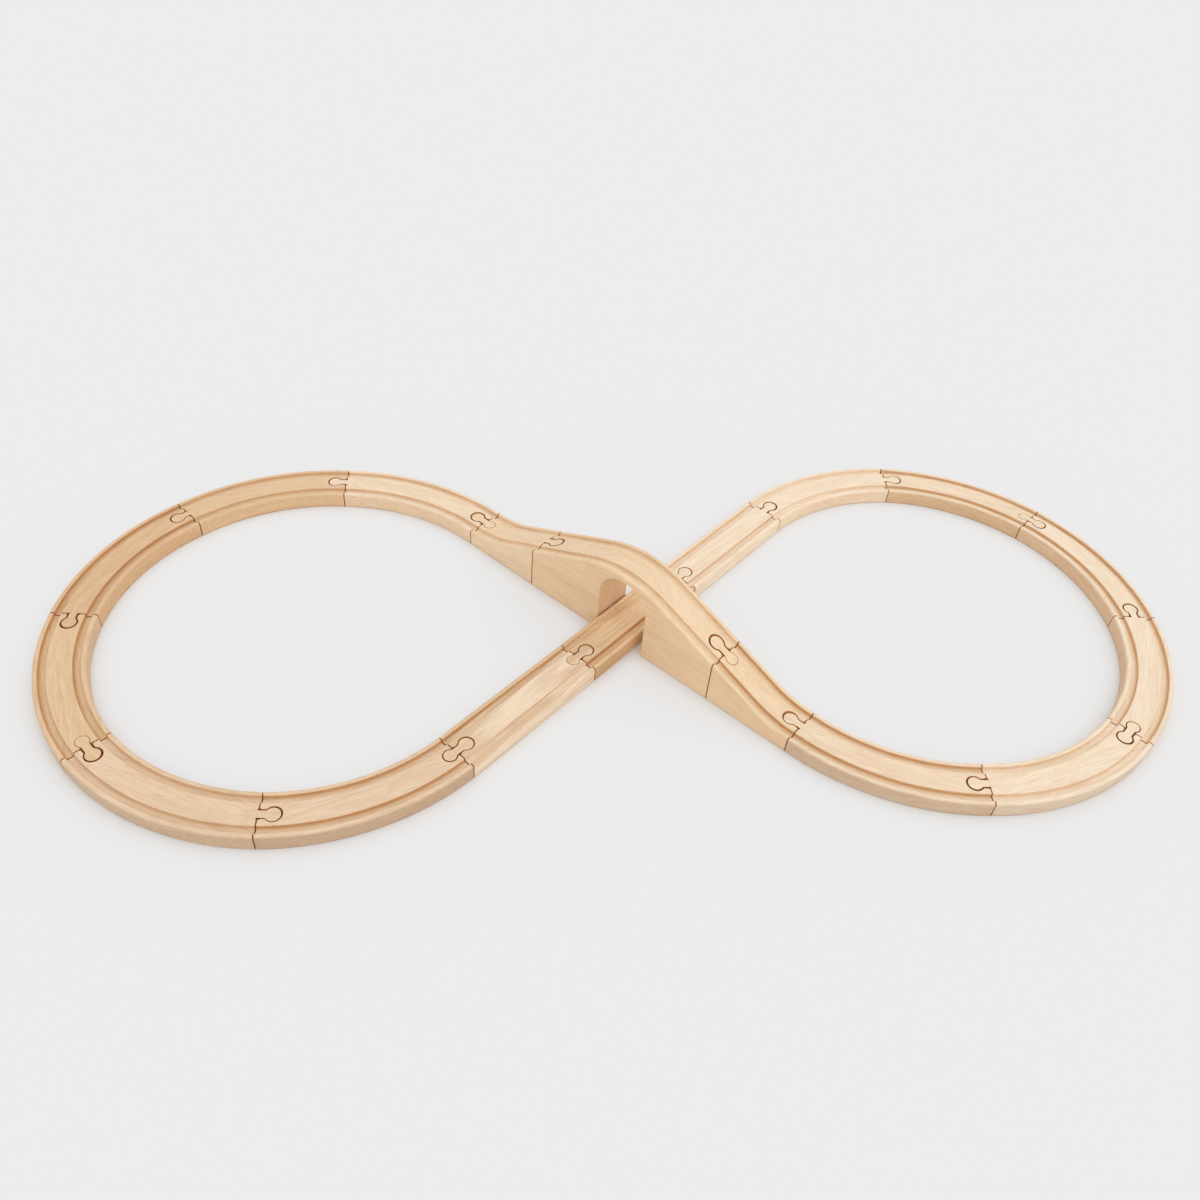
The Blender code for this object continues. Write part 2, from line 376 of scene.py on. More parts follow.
@dataclass(frozen=True)
class PegShape:
    """The plan of a dog-bone peg about its joint, its running head towards +X, and of the holes it fits.

    A hole's cutter has a ring at its bottom and further ones near the deck. Each of these is let out and lies
    above the deck by a number of rim widths. Painted shade goes as far down the peg as it does in the hole.
    """

    running_radius: float = 0.0058
    running_reach: float = 0.0105
    glued_radius: float = 0.0052
    glued_reach: float = 0.0058
    neck_width: float = 0.0063
    neck_fillet: float = 0.0025
    raised_height: float = 0.015
    recess: float = 0.0002
    rim: float = 0.0005
    floor_gap: float = 0.0003
    socket_slack: float = 0.0003
    mouth_flare: float = 0.0012
    mouth_depth: float = 0.0030
    notch_depth: float = 0.0006
    shade_rims: float = 3.0
    hole_rings: tuple[Point, ...] = ((0.0, -3.0), (0.0, -1.5), (0.5, -0.5), (2.0, 1.0))
    # End-grain tone at the bottom of a hole, and painted shade on its upper walls and its rim
    hole_tones_and_shade: tuple[float, ...] = (END_GRAIN, SEAM_SHADE, SEAM_SHADE, RIM_SHADE)
    head_steps: int = 28
    fillet_steps: int = 6
    rim_steps: int = 2

    def half(self, radius: float, reach: float, grow: float) -> list[Point]:
        """One half of the plan, from the neck's right side round the head to its left side.

        Args:
            radius: Radius of the head.
            reach: From the joint to the middle of the head.
            grow: How far all sides are moved out.

        Returns:
            The points in order.
        """
        fillet_y = self.neck_width / 2 + self.neck_fillet
        fillet_x = reach - math.sqrt((radius + self.neck_fillet) ** 2 - fillet_y**2)
        meet = math.atan2(fillet_y, fillet_x - reach)
        head = arc((reach, 0.0), radius + grow, -meet, meet, self.head_steps)
        inner = self.neck_fillet - grow
        hollow = arc((fillet_x, -fillet_y), inner, math.pi / 2, math.pi - meet, self.fillet_steps)[:-1]
        return hollow + head + [(x, -y) for x, y in reversed(hollow)]

    def peg(self) -> list[Point]:
        """The peg's own plan."""
        running = self.half(self.running_radius, self.running_reach, 0.0)
        glued = self.half(self.glued_radius, self.glued_reach, 0.0)
        return running + [(-x, -y) for x, y in glued]

    def socket(self, gap: float) -> list[Point]:
        """The plan of the socket, which is a little deeper than the running head needs."""
        return self.hole(self.running_radius, self.running_reach + self.socket_slack, gap)

    def pocket(self, gap: float) -> list[Point]:
        """The plan of the pocket for the glued half, on the other side of the joint."""
        return [(-x, -y) for x, y in self.hole(self.glued_radius, self.glued_reach, gap)]

    def hole(self, radius: float, reach: float, gap: float) -> list[Point]:
        """The plan of a hole for a head, whose mouth widens towards the joint.

        Args:
            radius: Radius of the head it holds.
            reach: From the joint to the middle of the head.
            gap: Play round the head.

        Returns:
            The points in order.
        """
        side = self.neck_width / 2 + gap
        plan = self.half(radius, reach, gap)
        depth = min(self.mouth_depth, plan[0][0] / 2)
        mouth = [(depth, side), (0.0, side + self.mouth_flare), (-OVERSHOOT, side + self.mouth_flare)]
        return plan + mouth + [(x, -y) for x, y in reversed(mouth)]

    def notch(self, grow: float) -> list[Point]:
        """The plan of the shallow notch in the owner's end, on both sides of the neck."""
        half = self.neck_width / 2 + self.mouth_flare + grow
        depth = self.notch_depth + grow
        return [(OVERSHOOT, -half), (OVERSHOOT, half), (-depth, half), (-depth, -half)]


@dataclass(frozen=True)
class BridgeShape:
    """The bridge's deck, from the foot of one ramp to the foot of the other, and its tunnel."""

    ramp_length: float = 0.080
    arch_length: float = 0.200
    crest_height: float = 0.075
    foot_radius: float = 0.100
    crest_radius: float = 0.100
    tunnel_roof: float = 0.003
    tunnel_clearance: float = 0.005
    tunnel_shift: float = -0.0038
    tunnel_rim: float = 0.0006
    tunnel_steps: int = 40
    # Painted shade on the tunnel's walls
    tunnel_deepness: float = 0.12

    @property
    def half(self) -> float:
        """Half the bridge's length."""
        return self.ramp_length + self.arch_length / 2

    def deck(self, along: float, foot_height: float) -> float:
        """Height of the deck: an arc at the foot, a straight slope, an arc at the crest.

        Args:
            along: Distance from the bridge's start.
            foot_height: Height of the deck at either end.

        Returns:
            The height above the floor.
        """
        run = max(self.half - abs(along - self.half), 0.0)
        from_crest = self.half - run
        rise = self.crest_height - foot_height
        radii = self.foot_radius + self.crest_radius
        slope = math.atan2(rise - radii, self.half) + math.asin(radii / math.hypot(self.half, rise - radii))
        foot_run = self.foot_radius * math.sin(slope)
        if run < foot_run:
            return foot_height + self.foot_radius - math.sqrt(self.foot_radius**2 - run**2)
        if from_crest < self.crest_radius * math.sin(slope):
            return self.crest_height - self.crest_radius + math.sqrt(self.crest_radius**2 - from_crest**2)
        foot_rise = self.foot_radius * (1 - math.cos(slope))
        return foot_height + foot_rise + (run - foot_run) * math.tan(slope)


SECTION = Section()
PEG = PegShape()
BRIDGE = BridgeShape()


class Fit(Enum):
    """How closely a socket follows the running head in it, as what is added to the play."""

    TIGHT = -0.0005
    SNUG = -0.0003
    EASY = 0.0001


# The joints with a closer fit than the easy one
FITS = {
    "peg_straight_near": Fit.SNUG,
    "peg_straight_centre": Fit.TIGHT,
    "peg_curve_right_1": Fit.SNUG,
    "peg_curve_right_2": Fit.SNUG,
    "peg_curve_right_6": Fit.SNUG,
    "peg_curve_left_1": Fit.SNUG,
    "peg_curve_left_2": Fit.SNUG,
    "peg_curve_left_5": Fit.SNUG,
    "peg_curve_left_6": Fit.SNUG,
}


class GlueLine(Enum):
    """How well a peg's glued half fits its pocket, as the gap that shows round it."""

    SHUT = 0.00002
    FAINT = 0.00025
    OPEN = 0.00060


# The pegs whose glue lines aren't shut
GLUE_LINES = {
    "peg_straight_near": GlueLine.FAINT,
    "peg_curve_left_6": GlueLine.OPEN,
    "peg_curve_right_4": GlueLine.OPEN,
    "peg_curve_right_2": GlueLine.FAINT,
    "peg_curve_left_4": GlueLine.FAINT,
    "peg_ramp_near": GlueLine.FAINT,
    "peg_ramp_far": GlueLine.FAINT,
}


class Signal:
    """A socket of a node tree that takes part in sums written in Python."""

    def __init__(self, graph: Graph, socket: bpy.types.NodeSocket) -> None:
        """Wraps an output socket of a graph."""
        self.graph = graph
        self.socket = socket

    def __add__(self, other: Value) -> Signal:
        """This value and another."""
        return self.graph.math("ADD", self, other)

    __radd__ = __add__

    def __mul__(self, other: Value) -> Signal:
        """This value times another."""
        return self.graph.math("MULTIPLY", self, other)

    __rmul__ = __mul__

    def __sub__(self, other: Value) -> Signal:
        """This value less another."""
        return self.graph.math("SUBTRACT", self, other)

    def __rsub__(self, other: Value) -> Signal:
        """Another value less this one."""
        return self.graph.math("SUBTRACT", other, self)


Value = Union[Signal, float, Sequence[float]]
Key = Union[str, int]


@dataclass(frozen=True)
class Pattern:
    """A noise drawn out along the fibres: how often it changes per metre, its octaves and their weight."""

    along: float
    across: float
    octaves: float
    harshness: float = 0.55


class Graph:
    """The nodes of a material or a world."""

    # Where a Mix node has the sockets for colours
    FIRST_COLOUR = 6
    SECOND_COLOUR = 7
    MIXED_COLOUR = 2

    def __init__(self, tree: bpy.types.NodeTree) -> None:
        """Empties a node tree, ready to be filled."""
        self.tree = tree
        tree.nodes.clear()

    def node(self, kind: str, inputs: dict[Key, Value], output: Key = 0, **settings: Any) -> Signal:
        """Adds a node.

        Args:
            kind: The node's type.
            inputs: A value or a link for each socket, by name or number.
            output: The socket to give back, by name or number.
            **settings: The node's own settings, which are made first.

        Returns:
            The chosen output.
        """
        made = self.tree.nodes.new(kind)
        for name, setting in settings.items():
            setattr(made, name, setting)
        for name, value in inputs.items():
            if isinstance(value, Signal):
                self.tree.links.new(value.socket, made.inputs[name])
            else:
                made.inputs[name].default_value = value
        return Signal(self, made.outputs[output] if made.outputs else None)

    def math(self, operation: str, *values: Value) -> Signal:
        """One Math node on numbers."""
        return self.node("ShaderNodeMath", dict(enumerate(values)), operation=operation)

    def mix(self, factor: Value, first: Value, second: Value, blend: str = "MIX") -> Signal:
        """Mixes two colours.

        Args:
            factor: Share of the second colour.
            first: The colour at 0.
            second: The colour at 1.
            blend: How the second colour is laid on.

        Returns:
            The mixed colour.
        """
        inputs = {"Factor": factor, self.FIRST_COLOUR: first, self.SECOND_COLOUR: second}
        return self.node("ShaderNodeMix", inputs, self.MIXED_COLOUR, data_type="RGBA", blend_type=blend)

    def tint(self, share: Value, colour: Signal, tint: Colour) -> Signal:
        """A colour with a share of a tint laid over it."""
        return self.mix(share, colour, (*tint, 1.0), "MULTIPLY")

    def vector(self, operation: str, *values: Value) -> Signal:
        """One Vector Math node that gives a vector."""
        return self.node("ShaderNodeVectorMath", dict(enumerate(values)), operation=operation)

    def attribute(self, name: str) -> Signal:
        """A number that the mesh carries."""
        return self.node("ShaderNodeAttribute", {}, "Fac", attribute_name=name)

    def noise(self, place: Signal, pattern: Pattern) -> Signal:
        """A noise that is drawn out along X.

        Args:
            place: Coordinates in metres, with the fibres along X.
            pattern: How it is drawn out.

        Returns:
            A value about 0.5.
        """
        scaled = self.vector("MULTIPLY", place, (pattern.along, pattern.across, pattern.across))
        octaves = {"Detail": pattern.octaves, "Roughness": pattern.harshness}
        return self.node("ShaderNodeTexNoise", {"Vector": scaled, "Scale": 1.0, **octaves})

    def ramp(self, value: Signal, low: float, high: float) -> Signal:
        """Stretches the part of a value between low and high over 0 to 1, smoothly."""
        inputs = {"Value": value, "From Min": low, "From Max": high}
        return self.node("ShaderNodeMapRange", inputs, interpolation_type="SMOOTHSTEP")


@dataclass(frozen=True)
class Beech:
    """Clear-finished beech from one board: its colour and figure, and the grain that all boards share.

    The colours are shares of the board's tone, or tints laid over it.
    """

    # What sets one board apart from another
    tone: Colour
    figure: float = 0.5
    flecked: float = 0.40
    ring_width: float = 0.0038
    deep: Colour = (0.92, 0.87, 0.80)
    # A painted pool of light about the piece's middle, as a tint
    middle: Colour = (1.0, 1.0, 1.0)

    # The other colours
    pale: Colour = (1.05, 1.06, 1.08)
    fleck: Colour = (0.80, 0.70, 0.58)
    knot: Colour = (0.60, 0.42, 0.26)
    # Golden painted shade in the grooves, along the foot and inside the tunnel; also the deeper tone of end
    # grain
    golden: Colour = (0.77, 0.57, 0.36)
    # Dark brown painted shade in the seams and round the pegs
    sawn: Colour = (0.70, 0.40, 0.17)
    # Painted highlight on the pegs' rounded rims
    rim_highlight: Colour = (1.03, 1.05, 1.08)

    # How much of the deep colour, the knots and the golden painted shade shows
    deep_share: float = 0.40
    drift_weight: float = 1.3
    fibre_weight: float = 2.2
    figure_weight: float = 2.0
    knot_share: float = 0.8
    golden_full: float = 0.5

    # The patterns
    drift: Pattern = Pattern(7.0, 60.0, 2.0)
    fibre: Pattern = Pattern(40.0, 600.0, 4.0)
    flecks: Pattern = Pattern(95.0, 1150.0, 1.0)
    fleck_range: tuple[float, float] = (0.55, 0.72)
    wobble: Pattern = Pattern(6.0, 30.0, 1.0)
    wobble_width: float = 0.008
    ring_octaves: float = 2.0
    ring_harshness: float = 0.6
    knots_per_metre: tuple[float, float, float] = (25.0, 60.0, 60.0)
    knot_range: tuple[float, float] = (0.012, 0.045)
    lit_middle_core: float = 0.020
    lit_middle_reach: float = 0.050

    # The surface
    roughness: float = 0.46
    fibre_roughness: float = 0.25
    fleck_depth: float = 0.5
    relief: float = 0.00006
    relief_strength: float = 0.35
    specular: float = 0.30

    def times(self, share: Colour) -> tuple[float, float, float, float]:
        """The board's tone, channel by channel, times a share of it."""
        red, green, blue = (tone * part for tone, part in zip(self.tone, share))
        return red, green, blue, 1.0

    def material(self, name: str, grain: Grain, flank: SideShade) -> bpy.types.Material:
        """Makes the finish of one piece.

        Args:
            name: Name of the material.
            grain: How the piece lies in its board.
            flank: The painted shade on its sides, as a tint.

        Returns:
            The material.
        """
        made = bpy.data.materials.new(name)
        made.use_nodes = True
        graph = Graph(made.node_tree)
        place = grain.coordinates(graph)
        fibre = graph.noise(place, self.fibre) - 0.5
        fleck = graph.ramp(graph.noise(place, self.flecks), *self.fleck_range)
        wood = self.bare(graph, place, grain, fibre, fleck)
        deepness = graph.attribute(TONE_AND_SHADE)
        # Golden painted shade in the grooves, along the foot and inside the tunnel, and the deeper tone of end
        # grain
        wood = graph.tint(graph.ramp(deepness, 0.0, self.golden_full), wood, self.golden)
        # Dark brown painted shade in the seams and round the pegs
        wood = graph.tint(graph.ramp(deepness, self.golden_full, SEAM_SHADE), wood, self.sawn)
        # Painted highlight on the pegs' rounded rims
        wood = graph.tint(graph.ramp(deepness, 0.0, RIM_HIGHLIGHT), wood, self.rim_highlight)
        # Painted shade on the sides, set piece by piece
        wood = graph.tint(graph.attribute(FLANK), wood, flank.value)
        height = fibre - fleck * self.fleck_depth
        pores = {"Height": height, "Distance": self.relief, "Strength": self.relief_strength}
        inputs = {
            "Base Color": wood,
            "Roughness": self.roughness + fibre * self.fibre_roughness,
            "Specular IOR Level": self.specular,
            "Normal": graph.node("ShaderNodeBump", pores),
        }
        shader = graph.node("ShaderNodeBsdfPrincipled", inputs)
        graph.node("ShaderNodeOutputMaterial", {"Surface": shader})
        return made

    def bare(self, graph: Graph, place: Signal, grain: Grain, fibre: Signal, fleck: Signal) -> Signal:
        """The colour of the wood, with a painted pool of light about the middle of some pieces, before the
        painted shade, the painted highlight and the tone of end grain.

        Args:
            graph: The material's nodes.
            place: Coordinates in the board.
            grain: How the piece lies in its board.
            fibre: The fine pattern of the fibres, about 0.
            fleck: 1 in the middle of a fleck and 0 between them.

        Returns:
            The colour.
        """
        drift = graph.noise(place, self.drift) - 0.5
        bands = self.growth(graph, place, grain) - 0.5
        fine = self.deep_share + drift * self.drift_weight + fibre * self.fibre_weight
        share = fine + bands * (self.figure_weight * self.figure)
        wood = graph.mix(share, self.times(self.pale), self.times(self.deep))
        wood = graph.mix(fleck * self.flecked, wood, self.times(self.fleck))
        wood = graph.mix(self.knots(graph, place) * self.knot_share, wood, self.times(self.knot))
        # A painted pool of light about the piece's middle
        from_middle = graph.math("ABSOLUTE", graph.node("ShaderNodeSeparateXYZ", {"Vector": place}, "X"))
        return graph.tint(graph.ramp(from_middle, self.lit_middle_reach, self.lit_middle_core), wood, self.middle)

    def growth(self, graph: Graph, place: Signal, grain: Grain) -> Signal:
        """Bands of uneven width where the years of growth follow each other, round the middle of the tree.

        Args:
            graph: The material's nodes.
            place: Coordinates in the board.
            grain: How the piece lies in its board.

        Returns:
            A value about 0.5.
        """
        wobble = graph.noise(place, self.wobble)
        flat = graph.vector("MULTIPLY", place, (0.0, 1.0, 1.0))
        from_pith = graph.vector("SUBTRACT", flat, grain.pith)
        radius = graph.node("ShaderNodeVectorMath", {0: from_pith}, "Value", operation="LENGTH")
        rings = (radius + wobble * self.wobble_width) * (1.0 / self.ring_width)
        inputs = {"W": rings, "Scale": 1.0, "Detail": self.ring_octaves, "Roughness": self.ring_harshness}
        return graph.node("ShaderNodeTexNoise", inputs, noise_dimensions="1D")

    def knots(self, graph: Graph, place: Signal) -> Signal:
        """A few pin knots, 1 in the middle of one and 0 away from them."""
        scaled = graph.vector("MULTIPLY", place, self.knots_per_metre)
        away = graph.node("ShaderNodeTexVoronoi", {"Vector": scaled, "Scale": 1.0}, "Distance")
        return 1.0 - graph.ramp(away, *self.knot_range)


class SideShade(Enum):
    """Painted shade on a piece's sides, as a tint against its deck."""

    CLEAR = (1.0, 1.0, 1.0)
    WARM = (0.98, 0.93, 0.88)
    MELLOW = (0.89, 0.86, 0.83)
    DULL = (0.81, 0.78, 0.76)
    DUSKY = (0.745, 0.69, 0.65)
    GOLDEN = (0.83, 0.71, 0.60)


class GrooveShade(Enum):
    """How much painted shade the four walls of the grooves take, from one side to the other.

    The first wall is the outermost one of a curve, or the leftmost one of a straight.
    """

    PALE = (0.15, 0.15, 0.15, 0.15)
    SOFT = (0.35, 0.35, 0.35, 0.35)
    LIGHT = (0.55, 0.55, 0.55, 0.55)
    DEEP = (0.85, 0.85, 0.85, 0.85)
    FULL = (1.0, 1.0, 1.0, 1.0)
    INNER = (0.30, 1.0, 0.30, 1.0)
    SOFT_INNER = (0.10, 0.50, 0.10, 0.50)
    OUTER = (1.0, 0.20, 1.0, 0.20)
    LEFT = (1.0, 1.0, 0.0, 0.30)
    RIGHT = (0.20, 0.50, 1.0, 1.0)


class Board(Enum):
    """The boards that the pieces are cut from."""

    PALE = Beech((0.891, 0.729, 0.551))
    CREAM = Beech((0.855, 0.672, 0.484))
    STRAW = Beech((0.837, 0.631, 0.422), flecked=0.20)
    FIGURED = Beech((0.838, 0.665, 0.482), figure=3.4, ring_width=0.007, deep=(0.84, 0.75, 0.64))
    HONEY = Beech((0.772, 0.575, 0.393), flecked=0.55)
    AMBER = Beech((0.748, 0.527, 0.325), flecked=0.50)
    STRIPED = Beech(
        (0.768, 0.545, 0.330),
        figure=1.2,
        ring_width=0.003,
        deep=(0.86, 0.78, 0.68),
        # A painted pool of light about the middle, where this straight runs under the arch
        middle=(1.18, 1.25, 1.30),
    )
    TAWNY = Beech((0.711, 0.481, 0.282), flecked=0.55)


# The pegs that aren't cut from their owner's board
PEG_BOARDS = {"peg_straight_centre": Board.PALE}


@dataclass(frozen=True)
class Sawing:
    """How far a piece may be turned in its board, in degrees, and how far off the tree's middle may lie."""

    slant: float = 2.5
    roll: float = 70.0
    tilt: float = 3.0
    pith_aside: float = 0.02
    pith_near: float = 0.05
    pith_far: float = 0.11


SAWING = Sawing()


@dataclass(frozen=True)
class Grain:
    """How a piece lies in its board: its middle, the way the fibres run, and where the tree's middle was."""

    middle: Vector
    heading: float
    roll: float
    tilt: float
    pith: Vector

    @classmethod
    def drawn(cls, name: str, middle: Vector, heading: float, slope: float) -> Grain:
        """A board picked for a piece, always the same one for the same name.

        Args:
            name: The piece's name.
            middle: The piece's middle.
            heading: The way the piece runs.
            slope: The angle at which its fibres rise that way.

        Returns:
            The grain.
        """
        draw = random.Random(name)
        slant = math.radians(draw.uniform(-SAWING.slant, SAWING.slant))
        roll = math.radians(draw.uniform(-SAWING.roll, SAWING.roll))
        tilt = math.radians(draw.uniform(-SAWING.tilt, SAWING.tilt)) - slope
        aside = draw.uniform(-SAWING.pith_aside, SAWING.pith_aside)
        below = draw.uniform(SAWING.pith_near, SAWING.pith_far)
        return cls(middle, heading + slant, roll, tilt, Vector((0.0, aside, -below)))

    def coordinates(self, graph: Graph) -> Signal:
        """Coordinates in the board, with the fibres along X."""
        place = graph.node("ShaderNodeTexCoord", {}, "Object")
        inputs = {"Vector": place, "Location": self.middle, "Rotation": (self.roll, self.tilt, self.heading)}
        return graph.node("ShaderNodeMapping", inputs, vector_type="TEXTURE")


Wood = tuple[Board, SideShade, GrooveShade]


class Turn(Enum):
    """The side a track bends to, as the sign of its turn seen from above."""

    LEFT = 1
    RIGHT = -1


@dataclass
class Track:
    """A straight length of track."""

    name: str
    slot: str
    board: Board
    flank: SideShade
    groove: GrooveShade
    length: float = 0.140
    end_rounding: float = 0.0006
    rounding_steps: int = 3
    shaded_steps: int = 2
    steps: int = 1

    def end(self) -> Pose:
        """The far joint in the frame of the start joint."""
        return Pose(self.length, 0.0, 0.0)

    def grain_heading(self) -> float:
        """The way the fibres run, from the heading at the start joint."""
        return 0.0

    def grain_slope(self) -> float:
        """The angle at which the fibres rise: with the deck, from joint to joint."""
        return math.atan2(self.deck(self.length) - self.deck(0.0), self.length)

    def deck(self, along: float) -> float:
        """Height of the deck at a distance from the start joint."""
        return SECTION.thickness

    def across(self, point: Vector) -> float:
        """How far a point lies to the left of the middle line."""
        return point.y

    def sweep(self, bm: bmesh.types.BMesh, setback: float) -> None:
        """Sweeps the section from joint to joint.

        Args:
            bm: The bmesh to build in.
            setback: Gap left at either joint.
        """
        face = SECTION.draw(bm, setback)
        step = ((self.length - 2 * setback) / self.steps, 0.0, 0.0)
        bmesh.ops.spin(
            bm,
            geom=[face],
            axis=(0.0, 0.0, 1.0),
            dvec=step,
            angle=0.0,
            steps=self.steps,
            use_duplicate=False,
        )

    def shape(self, bm: bmesh.types.BMesh) -> None:
        """Rounds the edges of both ends, and marks the deeper tone of the end grain and painted shade on most
        of the rounding.
        """
        edges = [edge for cap in caps_of(bm) for edge in cap.edges]
        bevel(bm, edges, self.end_rounding, self.rounding_steps, Rounded.EDGES)
        layer = bm.faces.layers.float.new(FACE_TONE_AND_SHADE)
        caps = set(caps_of(bm))
        ends = caps
        for _ in range(self.shaded_steps):
            ends = ends | {side for face in ends for edge in face.edges for side in edge.link_faces}
        for face in ends:
            face[layer] = END_GRAIN if face in caps else SEAM_SHADE

    def lean(self, bm: bmesh.types.BMesh, turns: tuple[float, float]) -> None:
        """Turns both ends a little, so that a seam keeps its width where the ring swivels at a joint.

        Args:
            bm: The bmesh.
            turns: How far the start and the far end are turned.
        """
        for pose, turn in zip((ORIGIN, self.end()), turns):
            frame = pose.matrix()
            inverse = frame.inverted()
            for vert in bm.verts:
                local = inverse @ vert.co
                if abs(local.x) < END_ZONE:
                    local.x -= local.y * math.tan(turn)
                    vert.co = frame @ local

    def cutters(self) -> list[bpy.types.Object]:
        """What is cut from this track apart from the holes of its joints."""
        return []

    def in_section(self, point: Vector) -> Point:
        """Where a point lies in the section: across the track, and below the deck."""
        return self.across(point), self.deck(point.x) - point.z

    def build(
        self, setback: float, turns: tuple[float, float], holes: Sequence[bpy.types.Object], place: Pose
    ) -> bpy.types.Object:
        """Models the track.

        Args:
            setback: Gap left at either joint.
            turns: How far its start and its far end are turned.
            holes: Cutters for its sockets and pockets, in its own frame.
            place: Its start joint in the world.

        Returns:
            The finished object.
        """
        bm = bmesh.new()
        self.sweep(bm, setback)
        self.shape(bm)
        self.lean(bm, turns)
        made = link_mesh(f"{self.name}_wood", bm)
        cut(made, [*self.cutters(), *holes])
        spots = [vert.co for vert in made.data.vertices]
        points = [self.in_section(spot) for spot in spots]
        # Painted shade in the grooves and on the rounding at the foot
        deepness = [
            max(SECTION.deepness(*point, self.groove), SECTION.foot(spot.z))
            for spot, point in zip(spots, points)
        ]
        mark(made, deepness, [SECTION.flank(*point) for point in points])
        made.data.transform(place.matrix())
        smooth(made)
        return made


@dataclass
class CurvedTrack(Track):
    """A length of track on an arc, cut from a straight board."""

    turn: Turn = Turn.LEFT
    radius: float = 0.195
    angle: float = math.radians(45)
    steps: int = 30

    def __post_init__(self) -> None:
        """Works out the length along the middle line."""
        self.length = self.radius * self.angle

    def end(self) -> Pose:
        """The far joint in the frame of the start joint."""
        x = self.radius * math.sin(self.angle)
        y = self.turn.value * self.radius * (1 - math.cos(self.angle))
        return Pose(x, y, self.turn.value * self.angle)

    def grain_heading(self) -> float:
        """The way the fibres run: along the chord."""
        return self.turn.value * self.angle / 2

    def across(self, point: Vector) -> float:
        """How far a point lies to the outside of the middle line."""
        return math.hypot(point.x, point.y - self.turn.value * self.radius) - self.radius

    def sweep(self, bm: bmesh.types.BMesh, setback: float) -> None:
        """Spins the section about the middle of the arc.

        Args:
            bm: The bmesh to build in.
            setback: Gap left at either joint.
        """
        face = SECTION.draw(bm, 0.0)
        middle = (0.0, self.turn.value * self.radius, 0.0)
        first = self.turn.value * setback / self.radius
        turned = self.turn.value * self.angle - 2 * first
        bmesh.ops.spin(
            bm,
            geom=[face],
            cent=middle,
            axis=(0.0, 0.0, 1.0),
            angle=turned,
            steps=self.steps,
            use_duplicate=False,
        )
        bmesh.ops.rotate(bm, verts=bm.verts, cent=middle, matrix=Matrix.Rotation(first, 3, "Z"))


@dataclass
class BridgeBlock(Track):
    """A block of the bridge, solid down to the floor under a sloping deck."""

    bridge_start: float = 0.0
    tunnel_half: float = 0.0
    steps: int = 48

    def deck(self, along: float) -> float:
        """Height of the deck at a distance from the start joint."""
        return BRIDGE.deck(self.bridge_start + along, SECTION.thickness)

    def shape(self, bm: bmesh.types.BMesh) -> None:
        """Rounds both ends, then lifts the deck and stretches the sides down to the floor."""
        super().shape(bm)
        for vert in bm.verts:
            if vert.co.z > SECTION.thickness / 2:
                vert.co.z += self.deck(vert.co.x) - SECTION.thickness

    def cutters(self) -> list[bpy.types.Object]:
        """The tunnel, if the block has one, with its rims eased."""
        if not self.tunnel_half:
            return []
        middle = self.length / 2 + BRIDGE.tunnel_shift
        crown = BRIDGE.crest_height - SECTION.groove_depth - BRIDGE.tunnel_roof - self.tunnel_half
        side = SECTION.width / 2
        rim = BRIDGE.tunnel_rim
        rings = []
        for y, grow in ((-side - rim, 2 * rim), (rim - side, 0.0), (side - rim, 0.0), (side + rim, 2 * rim)):
            half = self.tunnel_half + grow
            outline = [(middle - half, -OVERSHOOT), (middle + half, -OVERSHOOT)]
            outline += arc((middle, crown), half, 0.0, math.pi, BRIDGE.tunnel_steps)
            rings.append([Vector((x, y, z)) for x, z in outline])
        # Painted shade on the tunnel's walls
        wall = BRIDGE.tunnel_deepness
        return [loft(f"{self.name}_tunnel", rings, (wall, wall, wall))]


